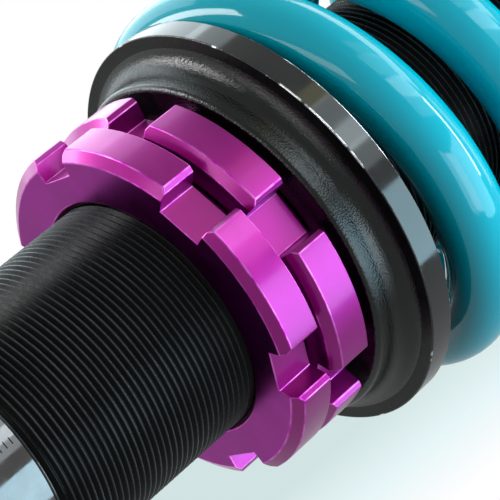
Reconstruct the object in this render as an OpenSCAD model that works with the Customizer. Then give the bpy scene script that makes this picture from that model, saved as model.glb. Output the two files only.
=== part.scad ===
// Height-adjustable spring and damper unit: an eye at the bottom, a coil spring that sits on a
// perch and two castellated lock rings, and a pivoting plate with three studs at the top.
// Millimetres. Z is the damper's axis. The origin is the centre of the lower eye.

/* [Damper tube] */
// Outer diameter of the plain tube
tube_d = 50; // [48:0.5:52]
// Wall of the plain tube
tube_wall = 2; // [1.5:0.25:3]
// Height of the tube's lower end above the eye's centre
tube_z = 40; // [36:1:50]
// Length of the tube
tube_len = 238; // [225:1:250]

/* [Threaded sleeve] */
// Thickness of the sleeve, from the tube to the thread's crests
sleeve_wall = 2; // [1.5:0.25:3]
// Pitch of the thread, which sets its depth and the chamfers at both ends
thread_pitch = 1.5; // [1:0.25:2]
// Height of the sleeve's lower end above the eye's centre
sleeve_z = 94.4; // [60:0.2:100]
// Length of the sleeve
sleeve_len = 167; // [140:1:170]

/* [Lock rings] */
// Height of the lower ring's front face above the sleeve's lower end
ring_rise = 49.6; // [46:0.2:60]
// Outer diameter
ring_d = 78.8; // [75:0.5:84]
// Thickness
ring_t = 9.3; // [8:0.1:12]
// Width of the front chamfer along the axis
ring_chamfer_z = 1.6; // [0.5:0.1:3]
// Width of the front chamfer along the radius
ring_chamfer_r = 2.3; // [0.5:0.1:4]
// Number of spanner slots
slot_count = 6; // [4:1:8]
// Angle between the two walls of a slot
slot_angle = 16.4; // [12:0.2:24]
// Diameter on which the slot floors lie
slot_floor_d = 67.8; // [66:0.2:70]
// Chamfer on the outer edges of a slot
slot_edge = 1.2; // [0.4:0.1:2]
// Direction of the lower ring's first slot
lower_ring_turn = 13.2; // [0:0.5:60]
// Direction of the upper ring's first slot
upper_ring_turn = 33; // [0:0.5:60]
// Diameter of the raised boss behind each ring
ring_boss_d = 64; // [60:0.5:65]
// Height of the raised boss behind each ring
ring_boss_h = 1.9; // [0.5:0.1:3]

/* [Spring perch] */
// Outer diameter of the perch's hub
hub_d = 80.6; // [78:0.2:86]
// Height of the hub in front of the flange
hub_h = 8.3; // [6:0.1:12]
// Outer diameter of the flange
flange_d = 94.6; // [92:0.2:100]
// Thickness of the flange
flange_t = 5.9; // [4:0.1:8]
// Radius of the fillet between hub and flange
perch_fillet = 4.6; // [2:0.1:5]
// Height of the spigot that centres the spring
perch_spigot_h = 8; // [5:0.5:12]

/* [Spring] */
// Wire diameter
wire_d = 15.2; // [13:0.1:16]
// Radial room between the thread's crests and the coils
coil_room = 8.2; // [8:0.1:10]
// Free length
spring_len = 190; // [185:1:200]
// Coils between the two flat ends
active_turns = 7; // [5:0.5:7]
// Share of a turn that lies flat at each end
flat_turn = 0.36; // [0.2:0.01:0.4]
// Depth ground off each end
ground_depth = 2; // [0.5:0.1:4]
// Direction in which the lower end of the wire lies
spring_turn = 50; // [0:1:360]

/* [Piston rod] */
// Diameter of the rod
rod_d = 20; // [18:0.5:22]
// Diameter of the rod's upper end above its shoulder
rod_top_d = 14; // [12:0.5:16]
// Diameter of the rod's lower end, which holds the piston
rod_tail_d = 12; // [10:0.5:14]
// Bore of the hollow rod
rod_bore_d = 7; // [6:0.25:8]

/* [Piston] */
// Height of the piston
piston_h = 14; // [12:0.5:18]
// Height of the low-friction band around the piston
band_h = 8; // [6:0.5:10]
// Thickness of the band
band_t = 1.2; // [0.8:0.1:2]
// Height of each shim stack
shims_h = 3; // [2:0.25:4]
// Height of the piston nut
piston_nut_h = 10; // [8:0.5:12]
// Thickness of the washer between the shims and the rod's shoulder
washer_t = 2.5; // [2:0.25:4]
// Height of the top-out ring on that washer
top_out_h = 8; // [6:0.5:12]
// Height of the floating piston
floating_h = 16; // [12:0.5:20]
// Height of the floating piston's foot above the eye's centre
floating_z = 104; // [90:1:110]

/* [Gland] */
// Height of the rod guide inside the tube
guide_h = 30; // [24:0.5:34]
// Thickness of the guide bush
guide_bush_t = 1.5; // [1:0.1:2]
// Height of the gland nut's rim above the tube
gland_rim_h = 6; // [4:0.5:8]

/* [Lower eye] */
// Outer diameter of the eye
eye_d = 46; // [44:0.5:52]
// Width of the eye
eye_w = 36; // [30:0.5:40]
// Diameter of the rubber bush
bush_d = 36; // [32:0.5:38]
// Outer diameter of the bolt sleeve
bolt_sleeve_d = 20; // [18:0.5:24]
// Length of the bolt sleeve
bolt_sleeve_w = 44; // [42:0.5:50]
// Diameter of the bolt hole
bolt_hole_d = 12.2; // [10.2:0.1:14.2]
// Diameter of the neck above the eye
neck_d = 30; // [26:0.5:34]
// Height of the foot that carries the tube
foot_h = 12; // [10:0.5:13]

/* [Bump stop and boot] */
// Length of the bump stop
bump_len = 40; // [30:1:50]
// Diameter of the bump stop
bump_d = 42; // [36:0.5:44]
// Number of folds in the dust boot
boot_folds = 9; // [6:1:10]
// Depth of the boot's folds
boot_fold_depth = 3.4; // [2:0.1:4]
// Wall of the boot
boot_wall = 1.3; // [1:0.1:1.6]

/* [Upper spring seat] */
// How far the seat's rim stays inside the spring's outer edge
seat_inset = 0.9; // [0:0.1:3]
// Thickness of the seat's flange
seat_t = 6; // [5:0.25:8]
// Height of the spigot that centres the spring
seat_spigot_h = 8; // [5:0.5:12]
// Height of the seat's hub
seat_hub_h = 11; // [9:0.5:14]

/* [Top mount] */
// Diameter of the pivot ball
ball_d = 27; // [25:0.5:28]
// Width of the ball across its flats
ball_w = 18; // [16:0.5:19]
// Thickness of the ball's liner
liner_t = 1.5; // [1:0.1:2]
// Outer diameter of the race
race_d = 38; // [36:0.5:42]
// Height of the race
race_h = 14; // [12:0.5:15]
// Diameter of the top plate
plate_d = 120; // [112:1:130]
// Thickness of the top plate
plate_t = 8; // [6:0.5:10]
// Diameter of the plate's boss
boss_d = 50; // [46:0.5:56]
// Height of the spacer between seat and ball
lower_spacer_h = 14; // [12:0.5:18]
// Height of the spacer between ball and nut
upper_spacer_h = 8; // [6:0.5:12]
// Diameter of the circle on which the studs stand
stud_circle_d = 92; // [84:0.5:98]
// Diameter of a stud
stud_d = 10; // [8:0.5:12]
// Length of a stud above the plate
stud_len = 30; // [20:1:40]
// Width of the knurled shoulder that holds a stud in the plate
stud_shoulder = 0.6; // [0.4:0.1:1]
// Height of the top nut
top_nut_h = 11; // [8:0.5:14]

/* [Adjuster] */
// Diameter of the knob
knob_d = 22; // [18:0.5:26]
// Height of the knob
knob_h = 13; // [10:0.5:18]
// Number of grips around the knob
knob_grips = 12; // [8:1:16]
// Diameter of the needle inside the rod
needle_d = 5; // [3:0.25:5.5]

/* [Clearances] */
// Radial clearance of every running fit
run_fit = 0.05; // [0.02:0.01:0.1]
// Radial clearance of pieces that are pressed or bonded together
seat_fit = 0.02; // [0.01:0.01:0.05]
// Gap between faces of pieces that move against each other
face_gap = 0.3; // [0.2:0.05:0.5]
// Radial gap between a spring's coils and the spigot inside them
spigot_gap = 0.4; // [0.3:0.05:1]

/* [Hidden] */
$fn = 96;

// More than any piece measures, for cuts that go right through
far = 400;
// How far a cutting solid reaches past the face that it cuts
past = 1;

// Damper tube and sleeve
tube_r = tube_d / 2;
bore_r = tube_r - tube_wall;
tube_top = tube_z + tube_len;
thread_r = tube_r + sleeve_wall;
thread_depth = 0.6134 * thread_pitch;
sleeve_top = sleeve_z + sleeve_len;

// Lock rings and perch, stacked along the sleeve
ring_r = ring_d / 2;
ring_pitch = ring_t + ring_boss_h + face_gap;
lower_ring_z = sleeve_z + ring_rise;
upper_ring_z = lower_ring_z + ring_pitch;
perch_z = upper_ring_z + ring_pitch;
flange_z = perch_z + hub_h;
seat_z = flange_z + flange_t;
slot_floor_r = slot_floor_d / 2;

// Gas filling plug in the foot of the eye
gas_plug_r = 4;
gas_plug_z = tube_z - foot_h / 2;

// Spring
wire_r = wire_d / 2;
spring_inner_r = thread_r + coil_room;
coil_r = spring_inner_r + wire_r;
spigot_r = spring_inner_r - spigot_gap;
spring_top = seat_z + spring_len;
end_height = wire_r - ground_depth;
total_turns = active_turns + 2 * flat_turn;
wire_sides = 14;
steps_per_turn = 30;

// Rod, piston and gland, from the top down
shoulder_z = spring_top + face_gap;
guide_z = tube_top - guide_h;
top_out_z = guide_z - face_gap - top_out_h;
washer_z = top_out_z - washer_t;
rebound_shims_z = washer_z - shims_h;
piston_z = rebound_shims_z - piston_h;
compression_shims_z = piston_z - shims_h;
piston_nut_z = compression_shims_z - piston_nut_h;
rod_tail_z = piston_nut_z - 2.5;
rod_r = rod_d / 2;
rod_tail_r = rod_tail_d / 2;
rod_top_r = rod_top_d / 2;
rod_bore_r = rod_bore_d / 2;
piston_r = bore_r - 0.4;
washer_r = 1.6 * rod_r;
guide_wall_r = rod_r + guide_bush_t;
seal_h = 7;
seal_r = rod_r + 5;
wiper_h = 5;
gland_h = 12;
gland_top = tube_top + gland_rim_h;

// Upper seat and top mount, from the shoulder up
seat_inner_r = spigot_r - 3.4;
seat_hub_r = 19;
ball_r = ball_d / 2;
ball_z = shoulder_z + seat_hub_h + lower_spacer_h + ball_w / 2;
spacer_top_r = sqrt(ball_r * ball_r - ball_w * ball_w / 4) - 0.6;
ball_top = ball_z + ball_w / 2;
nut_z = ball_top + upper_spacer_h;
rod_end_z = nut_z + top_nut_h + 4;
liner_r = ball_r + run_fit + liner_t;
race_r = race_d / 2;
boss_r = boss_d / 2;
race_z = ball_z - race_h / 2;
clip_t = 1.5;
boss_z = race_z - 1.5;
boss_top = race_z + race_h + clip_t + 1;
plate_z = ball_z - plate_t / 2;
stud_head_d = stud_d * 1.6;
stud_head_t = 3;
stud_turn = 90;
knob_z = rod_end_z + face_gap;

// Boot, from the gland up to the seat
boot_z = sleeve_top + 5;
boot_collar_h = 8;
boot_top = shoulder_z;
boot_inner_r = thread_r - 0.6;
boot_outer_r = boot_inner_r + boot_fold_depth;

// A ring: a tube between two radii, standing on the plane at height z
module tube(z, h, r_in, r_out) {
    translate([0, 0, z]) difference() {
        cylinder(h = h, r = r_out);
        translate([0, 0, -past]) cylinder(h = h + 2 * past, r = r_in);
    }
}

// A revolved outline, given as [radius, height] pairs
module turned(outline) {
    rotate_extrude() polygon(outline);
}

// A ring with a round section, lying at height z
module round_ring(z, r, section_r) {
    translate([0, 0, z]) rotate_extrude($fn = 64) translate([r, 0]) circle(r = section_r, $fn = 24);
}

// A hexagon prism with a width across flats
module hexagon(z, h, flats) {
    translate([0, 0, z]) cylinder(h = h, d = flats / cos(30), $fn = 6);
}

// ---- Lower eye ----

// The body of the eye: a loop, a neck that flares into a round foot, and a spigot in the tube
module eye_solid() {
    loop_r = eye_d / 2;
    half_w = eye_w / 2;
    neck_r = neck_d / 2;
    flare = tube_r - neck_r;
    foot_z = tube_z - foot_h;
    rotate([90, 0, 0]) turned([
        [0, -half_w], [loop_r - 1.2, -half_w], [loop_r, 1.2 - half_w],
        [loop_r, half_w - 1.2], [loop_r - 1.2, half_w], [0, half_w]
    ]);
    rotate_extrude() {
        square([neck_r, foot_z]);
        difference() {
            translate([neck_r - past, foot_z - flare]) square([flare + past, flare]);
            translate([tube_r, foot_z - flare]) circle(r = flare);
        }
    }
    turned([
        [0, foot_z - past / 2], [tube_r - 0.8, foot_z - past / 2], [tube_r, foot_z + 0.8],
        [tube_r, tube_z - 0.02], [bore_r - seat_fit, tube_z - 0.02],
        [bore_r - seat_fit, tube_z + 9], [bore_r - 1, tube_z + 10], [0, tube_z + 10]
    ]);
}

module lower_eye() {
    seal_groove_r = bore_r - 2.2;
    color("dimgray") difference() {
        eye_solid();
        rotate([90, 0, 0]) cylinder(h = far, r = bush_d / 2, center = true);
        tube(tube_z + 4, 2.6, seal_groove_r, bore_r + past);
        translate([0, 0, gas_plug_z]) rotate([0, 90, 0]) cylinder(h = far, r = gas_plug_r);
        translate([0, 0, gas_plug_z]) cylinder(h = far, r = gas_plug_r / 2);
    }
}

// Screw plug of the gas chamber, flush in the foot, with a hexagon socket
module gas_plug() {
    plug_len = 8;
    color("silver") translate([tube_r - plug_len - 0.5, 0, gas_plug_z]) rotate([0, 90, 0])
        difference() {
            cylinder(h = plug_len, r = gas_plug_r - seat_fit);
            hexagon(plug_len - 4, 4 + past, 4);
        }
}

// Seal ring on the eye's spigot
module base_seal() {
    color("black") tube(tube_z + 4.1, 2.4, bore_r - 2.2 + seat_fit, bore_r - run_fit);
}

// Rubber bush with a rounded groove in each end
module eye_bush() {
    inner_r = bolt_sleeve_d / 2 + run_fit;
    outer_r = bush_d / 2 - seat_fit;
    middle_r = (inner_r + outer_r) / 2;
    groove_r = (outer_r - inner_r) / 4;
    half_w = eye_w / 2 + 1;
    color("black") rotate([90, 0, 0]) rotate_extrude() difference() {
        translate([inner_r, -half_w]) square([outer_r - inner_r, 2 * half_w]);
        for (side = [-1, 1]) translate([middle_r, side * half_w]) circle(r = groove_r);
    }
}

// Steel sleeve that the lower bolt clamps
module bolt_sleeve() {
    half_w = bolt_sleeve_w / 2;
    outer_r = bolt_sleeve_d / 2;
    hole_r = bolt_hole_d / 2;
    color("silver") rotate([90, 0, 0]) turned([
        [hole_r, -half_w], [outer_r - 0.8, -half_w], [outer_r, 0.8 - half_w],
        [outer_r, half_w - 0.8], [outer_r - 0.8, half_w], [hole_r, half_w]
    ]);
}

// ---- Damper tube and threaded sleeve ----

module damper_tube() {
    edge = 0.6;
    color("gainsboro") turned([
        [bore_r, tube_z], [tube_r - edge, tube_z], [tube_r, tube_z + edge],
        [tube_r, tube_top - edge], [tube_r - edge, tube_top], [bore_r, tube_top]
    ]);
}

// The thread's crest cylinder, with a chamfer down to the thread's root at each end
module threaded_sleeve() {
    edge = thread_depth + 0.2;
    color("#1a1a1c") turned([
        [tube_r + seat_fit, sleeve_z], [thread_r - edge, sleeve_z], [thread_r, sleeve_z + edge],
        [thread_r, sleeve_top - edge], [thread_r - edge, sleeve_top],
        [tube_r + seat_fit, sleeve_top]
    ]);
}

// ---- Lock rings ----

// One spanner slot: radial walls, a flat floor, and chamfered outer edges
module spanner_slot() {
    half = tan(slot_angle / 2);
    floor_w = slot_floor_r * half;
    edge_r = ring_r - slot_edge;
    edge_w = edge_r * half;
    reach = slot_edge + past;
    translate([0, 0, -past]) linear_extrude(height = ring_t + 2 * past) polygon([
        [slot_floor_r, -floor_w], [edge_r, -edge_w], [edge_r + reach, -edge_w - reach],
        [edge_r + reach, edge_w + reach], [edge_r, edge_w], [slot_floor_r, floor_w]
    ]);
}

// A castellated ring whose front face points down and whose boss points up
module lock_ring(z, turn) {
    bore = thread_r + run_fit;
    lead = thread_depth;
    color("#a51a9c") translate([0, 0, z]) difference() {
        turned([
            [bore + lead, 0], [ring_r - ring_chamfer_r, 0], [ring_r, ring_chamfer_z],
            [ring_r, ring_t], [ring_boss_d / 2, ring_t],
            [ring_boss_d / 2 - 0.4, ring_t + ring_boss_h], [bore + lead, ring_t + ring_boss_h],
            [bore, ring_t + ring_boss_h - lead], [bore, lead]
        ]);
        for (i = [0 : slot_count - 1]) rotate([0, 0, turn + i * 360 / slot_count])
            spanner_slot();
    }
}

module lower_lock_ring() {
    lock_ring(lower_ring_z, lower_ring_turn);
}

module upper_lock_ring() {
    lock_ring(upper_ring_z, upper_ring_turn);
}

// ---- Spring perch and spring ----

module spring_perch() {
    bore = thread_r + 2 * run_fit;
    hub_r = hub_d / 2;
    flange_r = flange_d / 2;
    hub_edge = 1.2;
    rim_edge = 0.5;
    fillet_z = flange_z - perch_fillet;
    color("#202022") rotate_extrude() {
        polygon([
            [bore, perch_z + 0.6], [bore + 0.6, perch_z], [hub_r - hub_edge, perch_z],
            [hub_r - 0.35 * hub_edge, perch_z + 0.35 * hub_edge], [hub_r, perch_z + hub_edge],
            [hub_r, flange_z], [flange_r - rim_edge, flange_z], [flange_r, flange_z + rim_edge],
            [flange_r, seat_z - rim_edge], [flange_r - rim_edge, seat_z], [spigot_r, seat_z],
            [spigot_r, seat_z + perch_spigot_h - 2], [spigot_r - 1.6, seat_z + perch_spigot_h],
            [bore + 0.6, seat_z + perch_spigot_h], [bore, seat_z + perch_spigot_h - 0.6]
        ]);
        difference() {
            translate([hub_r - past, fillet_z]) square([perch_fillet + past, perch_fillet]);
            translate([hub_r + perch_fillet, fillet_z]) circle(r = perch_fillet);
        }
    }
}

// Height of the wire's centre above the perch after that many turns
function coil_height(turns) =
    let (rise = min(max(turns - flat_turn, 0), active_turns) / active_turns)
    end_height + rise * (spring_len - 2 * end_height);

// One point of the wire's skin, cut level where the ends are ground flat
function wire_point(turns, side) =
    let (around = 360 * side / wire_sides, r = coil_r + wire_r * cos(around))
    [
        r * cos(spring_turn + 360 * turns), r * sin(spring_turn + 360 * turns),
        min(max(coil_height(turns) + wire_r * sin(around), 0), spring_len)
    ];

// Round wire swept along the coil, with closed ends that are ground flat
module spring() {
    rings = ceil(total_turns * steps_per_turn);
    points = [
        for (i = [0 : rings]) for (side = [0 : wire_sides - 1])
            wire_point(total_turns * i / rings, side)
    ];
    walls = [
        for (i = [0 : rings - 1]) for (side = [0 : wire_sides - 1])
            let (next = (side + 1) % wire_sides, low = i * wire_sides, high = low + wire_sides)
            [low + side, high + side, high + next, low + next]
    ];
    start_cap = [[for (side = [0 : wire_sides - 1]) side]];
    end_cap = [[for (side = [wire_sides - 1 : -1 : 0]) rings * wire_sides + side]];
    color("#0092b4") translate([0, 0, seat_z])
        polyhedron(points = points, faces = concat(walls, start_cap, end_cap), convexity = 10);
}

// ---- Pistons ----

// Cup that keeps the gas below from the oil above
module floating_piston() {
    outer_r = bore_r - run_fit;
    middle = floating_z + floating_h / 2;
    color("silver") difference() {
        turned([
            [0, floating_z + 6], [outer_r - 6, floating_z + 6], [outer_r - 4, floating_z],
            [outer_r - 0.6, floating_z], [outer_r, floating_z + 0.6],
            [outer_r, floating_z + floating_h - 0.6], [outer_r - 0.6, floating_z + floating_h],
            [0, floating_z + floating_h]
        ]);
        tube(middle - 1.6, 3.2, bore_r - 2.8, bore_r + past);
    }
}

module floating_seal() {
    middle = floating_z + floating_h / 2;
    color("black") tube(middle - 1.5, 3, bore_r - 2.8 + seat_fit, bore_r - run_fit);
}

module piston() {
    port_r = 2.2;
    port_circle_r = (rod_tail_r + piston_r) / 2 - 1;
    band_z = piston_z + (piston_h - band_h) / 2;
    color("silver") difference() {
        tube(piston_z, piston_h, rod_tail_r + seat_fit, piston_r);
        tube(band_z, band_h, bore_r - run_fit - band_t - seat_fit, bore_r + past);
        for (i = [0 : 7]) rotate([0, 0, i * 45]) translate([port_circle_r, 0, 0])
            cylinder(h = far, r = port_r);
    }
}

module piston_band() {
    band_z = piston_z + (piston_h - band_h) / 2;
    outer_r = bore_r - run_fit;
    color("sienna") tube(band_z + seat_fit, band_h - 2 * seat_fit, outer_r - band_t, outer_r);
}

// A stack of discs that get smaller away from the piston's face, which is at height z
module shim_stack(z, direction) {
    discs = 5;
    disc_t = shims_h / discs * direction;
    bore = rod_tail_r + seat_fit;
    widest = 0.74 * piston_r;
    narrowest = 2 * rod_tail_r;
    steps = [
        for (i = [0 : discs - 1]) for (face = [0, 1])
            [widest - i * (widest - narrowest) / (discs - 1), z + (i + face) * disc_t]
    ];
    color("lightsteelblue")
        turned(concat([[bore, z]], steps, [[bore, z + discs * disc_t]]));
}

module compression_shims() {
    shim_stack(compression_shims_z + shims_h, -1);
}

module rebound_shims() {
    shim_stack(rebound_shims_z, 1);
}

module piston_nut() {
    color("silver") difference() {
        hexagon(piston_nut_z, piston_nut_h, rod_tail_d * 1.6);
        cylinder(h = far, r = rod_tail_r + seat_fit);
    }
}

module backing_washer() {
    color("silver") tube(washer_z, washer_t, rod_tail_r + seat_fit, washer_r);
}

// Soft ring that cushions the end of the rebound stroke
module top_out_ring() {
    color("ivory") turned([
        [rod_r + seat_fit, top_out_z], [washer_r, top_out_z], [washer_r, top_out_z + 1],
        [washer_r - 1, top_out_z + top_out_h - 1], [washer_r - 2, top_out_z + top_out_h],
        [rod_r + seat_fit, top_out_z + top_out_h]
    ]);
}

// Hollow rod with a thinner tail for the piston and a thinner end for the top mount
module piston_rod() {
    edge = 1;
    color("whitesmoke") difference() {
        turned([
            [0, rod_tail_z], [rod_tail_r - edge, rod_tail_z], [rod_tail_r, rod_tail_z + edge],
            [rod_tail_r, top_out_z], [rod_r, top_out_z],
            [rod_r, shoulder_z], [rod_top_r, shoulder_z], [rod_top_r, rod_end_z - edge],
            [rod_top_r - edge, rod_end_z], [0, rod_end_z]
        ]);
        translate([0, 0, rod_tail_z - past]) cylinder(h = far, r = rod_bore_r);
    }
}

// ---- Gland ----

module rod_guide() {
    color("goldenrod") turned([
        [guide_wall_r, guide_z], [bore_r - 1, guide_z], [bore_r - seat_fit, guide_z + 1],
        [bore_r - seat_fit, tube_top - gland_h - 0.5], [seal_r + seat_fit, tube_top - gland_h - 0.5],
        [guide_wall_r, tube_top - gland_h - 0.5]
    ]);
}

module guide_bush() {
    bush_h = guide_h - gland_h - 4;
    color("sienna") tube(guide_z + 1.5, bush_h, rod_r + run_fit, guide_wall_r - seat_fit);
}

// Lip seal between the guide and the gland nut
module rod_seal() {
    low = tube_top - gland_h - 0.5 + seat_fit;
    color("black") turned([
        [rod_r + 2 * run_fit, low + 1], [rod_r + 1.6, low], [seal_r, low],
        [seal_r, low + seal_h], [rod_r + 3, low + seal_h], [rod_r + 1.4, low + seal_h - 2],
        [rod_r + run_fit, low + seal_h - 1.5]
    ]);
}

// Nut that closes the tube, with a rim over the tube's end and pin spanner holes
module gland_nut() {
    low = tube_top - gland_h;
    pocket_r = seal_r + seat_fit;
    mouth_r = rod_r + 3.2;
    pin_circle_r = (mouth_r + tube_r) / 2 + 0.5;
    color("#1a1a1c") difference() {
        turned([
            [pocket_r, low], [bore_r - seat_fit, low], [bore_r - seat_fit, tube_top + seat_fit],
            [tube_r, tube_top + seat_fit], [tube_r, gland_top - 1], [tube_r - 1, gland_top],
            [mouth_r, gland_top], [mouth_r, low + seal_h + 0.5], [pocket_r, low + seal_h]
        ]);
        for (i = [0 : 3]) rotate([0, 0, 45 + i * 90])
            translate([pin_circle_r, 0, gland_top - 4]) cylinder(h = far, r = 2);
    }
}

// Lip that wipes the rod, in the nut's mouth
module dust_wiper() {
    outer_r = rod_r + 3.2 - seat_fit;
    color("black") turned([
        [rod_r + 1.4, gland_top - wiper_h], [outer_r, gland_top - wiper_h],
        [outer_r, gland_top - 0.2], [rod_r + 1.2, gland_top + 1.2],
        [rod_r + run_fit, gland_top + 1.2], [rod_r + 1.2, gland_top - 1]
    ]);
}

// ---- Bump stop and boot ----

// Foam block with two waists, hung under the upper seat
module bump_stop() {
    outer_r = bump_d / 2;
    low = shoulder_z - bump_len;
    waist_r = bump_len / 14;
    color("khaki") rotate_extrude() difference() {
        polygon([
            [rod_r + 0.3, low], [outer_r - 5, low], [outer_r - 2, low + 5],
            [outer_r, low + bump_len / 3], [outer_r, shoulder_z], [rod_r + 0.3, shoulder_z]
        ]);
        for (i = [1, 2]) translate([outer_r + waist_r * 0.2, low + i * bump_len / 3])
            circle(r = waist_r);
    }
}

// Radius of the boot's inner wall at a fold line
function fold_r(i) = i % 2 == 0 ? boot_inner_r : boot_outer_r - boot_wall;

// Rubber bellows with a collar on the tube and a flange under the upper seat
module dust_boot() {
    collar_r = tube_r + run_fit;
    collar_wall = 1.7 * boot_wall;
    flange_wall = 1.9 * boot_wall;
    fold_z = boot_z + boot_collar_h;
    neck_z = fold_z - 1.2 * boot_wall;
    fold_len = boot_top - 2.3 * boot_wall - fold_z;
    step = fold_len / (2 * boot_folds);
    inside = [for (i = [0 : 2 * boot_folds]) [fold_r(i), fold_z + i * step]];
    outside = [
        for (i = [2 * boot_folds : -1 : 0]) [fold_r(i) + boot_wall, fold_z + i * step]
    ];
    color("#161616") turned(concat(
        [[collar_r, boot_z], [collar_r, neck_z]],
        inside,
        [[boot_inner_r, boot_top - seat_fit], [seat_inner_r - 0.2, boot_top - seat_fit],
         [seat_inner_r - 0.2, boot_top - flange_wall]],
        outside,
        [[collar_r + collar_wall, neck_z], [collar_r + collar_wall, boot_z]]
    ));
}

// ---- Upper seat ----

module upper_seat() {
    outer_r = coil_r + wire_r - seat_inset;
    bore = rod_top_r + seat_fit;
    flange_top = shoulder_z + seat_t;
    web_r = seat_hub_r + 5;
    color("#202022") turned([
        [bore, shoulder_z], [seat_inner_r, shoulder_z], [seat_inner_r, shoulder_z - seat_spigot_h],
        [spigot_r - 1.6, shoulder_z - seat_spigot_h], [spigot_r, shoulder_z - seat_spigot_h + 2],
        [spigot_r, shoulder_z], [outer_r - 0.8, shoulder_z], [outer_r, shoulder_z + 0.8],
        [outer_r, flange_top - 1.5], [outer_r - 1.5, flange_top], [web_r, flange_top],
        [seat_hub_r, flange_top + 2], [seat_hub_r - 1, shoulder_z + seat_hub_h],
        [bore, shoulder_z + seat_hub_h]
    ]);
}

// ---- Top mount ----

module lower_spacer() {
    low = shoulder_z + seat_hub_h;
    bore = rod_top_r + seat_fit;
    color("silver") turned([
        [bore, low], [seat_hub_r - 4, low], [seat_hub_r - 4, low + 2],
        [spacer_top_r, low + lower_spacer_h - 3], [spacer_top_r, low + lower_spacer_h],
        [bore, low + lower_spacer_h]
    ]);
}

module pivot_ball() {
    color("silver") translate([0, 0, ball_z]) difference() {
        intersection() {
            sphere(r = ball_r);
            cube([far, far, ball_w], center = true);
        }
        cylinder(h = far, r = rod_top_r + seat_fit, center = true);
    }
}

// Thin low-friction shell between the ball and the race
module ball_liner() {
    color("white") translate([0, 0, ball_z]) difference() {
        intersection() {
            sphere(r = liner_r);
            cylinder(h = race_h - 1, r = far, center = true);
        }
        sphere(r = ball_r + run_fit);
    }
}

module ball_race() {
    color("silver") translate([0, 0, ball_z]) difference() {
        cylinder(h = race_h, r = race_r - seat_fit, center = true);
        sphere(r = liner_r + run_fit);
    }
}

// Spring ring that holds the race in the plate's boss
module race_clip() {
    gap_w = 6;
    color("dimgray") translate([0, 0, race_z + race_h + seat_fit]) difference() {
        tube(0, clip_t - 2 * seat_fit, race_r - 2.5, race_r + 1);
        translate([0, -gap_w / 2, -past]) cube([far, gap_w, clip_t + 2 * past]);
    }
}

// Round plate with a boss for the race, scallops between the studs and a lip under the race
module top_plate() {
    scallop_r = plate_d / 3;
    scallop_depth = (plate_d - stud_circle_d) / 2;
    scallop_at = plate_d / 2 + scallop_r - scallop_depth;
    color("#a51a9c") difference() {
        union() {
            turned([
                [0, plate_z], [plate_d / 2 - 1.2, plate_z], [plate_d / 2, plate_z + 1.2],
                [plate_d / 2, plate_z + plate_t - 1.2], [plate_d / 2 - 1.2, plate_z + plate_t],
                [0, plate_z + plate_t]
            ]);
            turned([
                [0, boss_z], [boss_r - 1.2, boss_z], [boss_r, boss_z + 1.2],
                [boss_r, boss_top - 1.2], [boss_r - 1.2, boss_top], [0, boss_top]
            ]);
        }
        translate([0, 0, boss_z - past]) cylinder(h = far, r = race_r - 1.6);
        translate([0, 0, race_z]) cylinder(h = far, r = race_r);
        tube(race_z + race_h, clip_t, race_r - past, race_r + 1.2);
        for (i = [0 : 2]) {
            rotate([0, 0, stud_turn + 60 + i * 120]) translate([scallop_at, 0, plate_z - past])
                cylinder(h = plate_t + 2 * past, r = scallop_r);
            rotate([0, 0, stud_turn + i * 120]) translate([stud_circle_d / 2, 0, plate_z - past])
                cylinder(h = plate_t + 2 * past, r = stud_d / 2 + stud_shoulder + seat_fit);
        }
    }
}

// Studs pressed in from below, each with a flat head and a shoulder that fills the plate's hole
module plate_studs() {
    stud_r = stud_d / 2;
    shoulder_r = stud_r + stud_shoulder;
    plate_top = plate_z + plate_t;
    end = plate_top + stud_len;
    color("goldenrod") for (i = [0 : 2]) rotate([0, 0, stud_turn + i * 120])
        translate([stud_circle_d / 2, 0, 0]) turned([
            [0, plate_z - stud_head_t], [stud_head_d / 2, plate_z - stud_head_t],
            [stud_head_d / 2, plate_z - seat_fit], [shoulder_r, plate_z - seat_fit],
            [shoulder_r, plate_top], [stud_r, plate_top], [stud_r, end - 1],
            [stud_r - 1, end], [0, end]
        ]);
}

module upper_spacer() {
    bore = rod_top_r + seat_fit;
    color("silver") turned([
        [bore, ball_top], [spacer_top_r, ball_top], [spacer_top_r, nut_z - 3],
        [spacer_top_r + 3, nut_z], [bore, nut_z]
    ]);
}

// Hexagon nut with a washer face
module top_nut() {
    flats = rod_top_d * 1.5;
    color("silver") difference() {
        union() {
            tube(nut_z, 2, rod_top_r, flats / 2 + 2);
            intersection() {
                hexagon(nut_z, top_nut_h, flats);
                translate([0, 0, nut_z]) cylinder(h = top_nut_h, r1 = flats, r2 = flats / 2 + 0.4);
            }
        }
        cylinder(h = 2 * far, r = rod_top_r + seat_fit);
    }
}

// ---- Adjuster ----

module adjuster_knob() {
    outer_r = knob_d / 2;
    color("#a51a9c") difference() {
        turned([
            [0, knob_z], [outer_r - 1, knob_z], [outer_r, knob_z + 1],
            [outer_r, knob_z + knob_h - 1.5], [outer_r - 1.5, knob_z + knob_h],
            [0, knob_z + knob_h]
        ]);
        for (i = [0 : knob_grips - 1]) rotate([0, 0, i * 360 / knob_grips])
            translate([outer_r + 0.6, 0, knob_z + 2.5]) cylinder(h = far, r = 1.5);
        translate([0, 0, knob_z - past]) cylinder(h = past + 6, r = needle_d / 2 + seat_fit);
    }
}

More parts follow.
